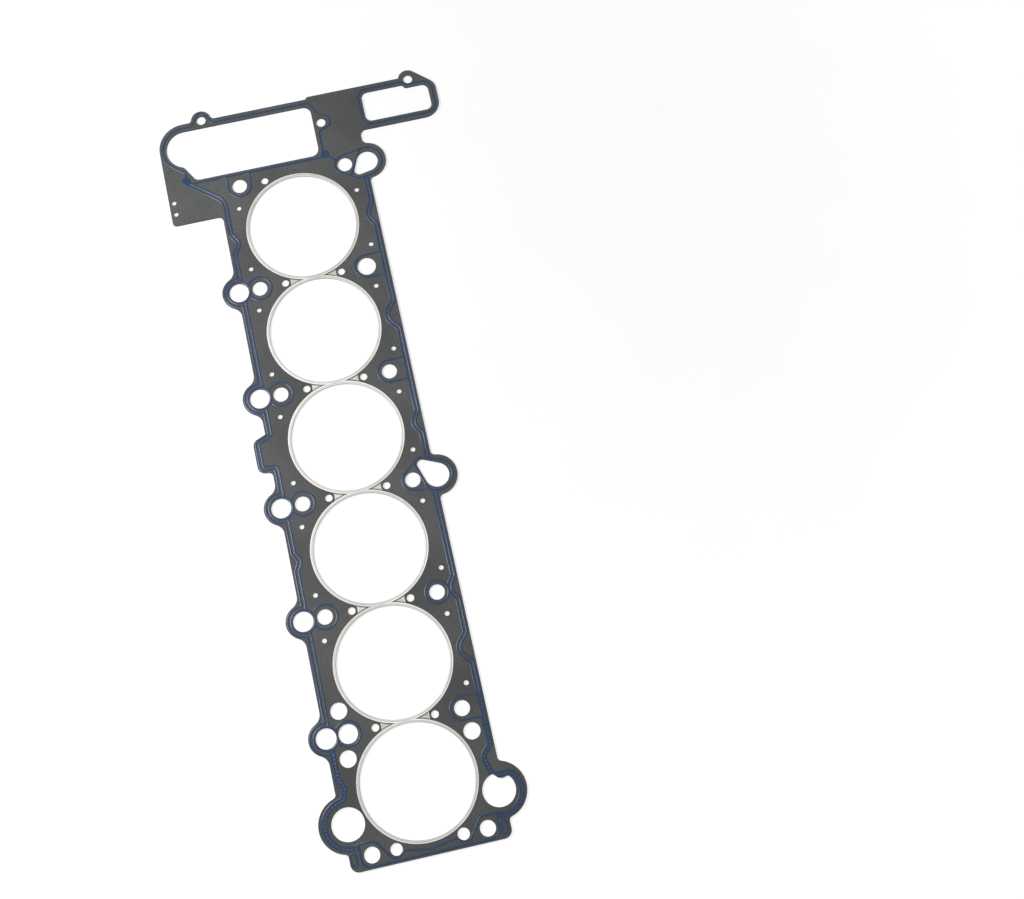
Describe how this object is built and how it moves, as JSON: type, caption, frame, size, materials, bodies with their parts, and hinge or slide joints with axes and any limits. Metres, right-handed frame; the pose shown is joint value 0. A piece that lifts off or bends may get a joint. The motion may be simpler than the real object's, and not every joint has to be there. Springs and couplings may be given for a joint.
{
  "type": "cylinder head gasket",
  "caption": "Flat composite cylinder head gasket for an in-line engine, with folded fire rings, steel bridge plates and printed sealing beads.",
  "frame": {"origin": "on the axis of cylinder 1, at the underside of its fire ring", "axes": "+Y to the timing case end, +X to the side of the timing case arm, +Z to the cylinder head"},
  "size_m": [0.2352, 0.6289, 0.0021],
  "materials": {
    "facing": "matt fibre facing with fine mottling",
    "stainless": "bright rolled sheet",
    "bead_blue": "satin elastomer"
  },
  "bodies": {
    "root": {"gasket_sheet": "facing", "fire_ring_1": "stainless", "fire_ring_2": "stainless", "fire_ring_3": "stainless", "fire_ring_4": "stainless", "fire_ring_5": "stainless", "fire_ring_6": "stainless", "bridge_plate_1": "stainless", "bridge_plate_2": "stainless", "bridge_plate_3": "stainless", "bridge_plate_4": "stainless", "bridge_plate_5": "stainless", "main_bead_upper": "bead_blue", "case_bead_upper": "bead_blue", "corner_bead_left_upper": "bead_blue", "corner_bead_right_upper": "bead_blue", "main_bead_lower": "bead_blue", "case_bead_lower": "bead_blue", "corner_bead_left_lower": "bead_blue", "corner_bead_right_lower": "bead_blue"}
  },
  "joints": []
}
